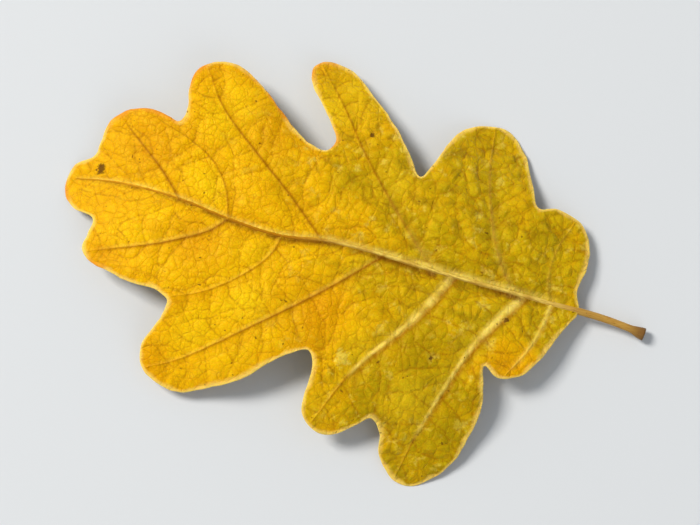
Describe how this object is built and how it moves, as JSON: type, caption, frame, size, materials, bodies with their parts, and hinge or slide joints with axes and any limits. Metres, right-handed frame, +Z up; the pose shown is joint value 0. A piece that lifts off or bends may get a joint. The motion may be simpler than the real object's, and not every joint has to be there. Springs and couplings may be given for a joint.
{
  "type": "autumn oak leaf",
  "caption": "Single lobed oak leaf in golden autumn colour, olive towards its foot, with a short stalk, gently curled and lying on its underside.",
  "frame": {"origin": "middle of the leaf's outline seen from above, on the surface it lies on", "axes": "+X along the leaf towards the foot of its stalk, so the tip points to -X; +Y across the blade; +Z up, on the side of the leaf's upper face"},
  "size_m": [0.1162, 0.076, 0.0094],
  "materials": {
    "leaf_tissue": "satin"
  },
  "bodies": {
    "root": {"oak_leaf": "leaf_tissue"}
  },
  "joints": []
}
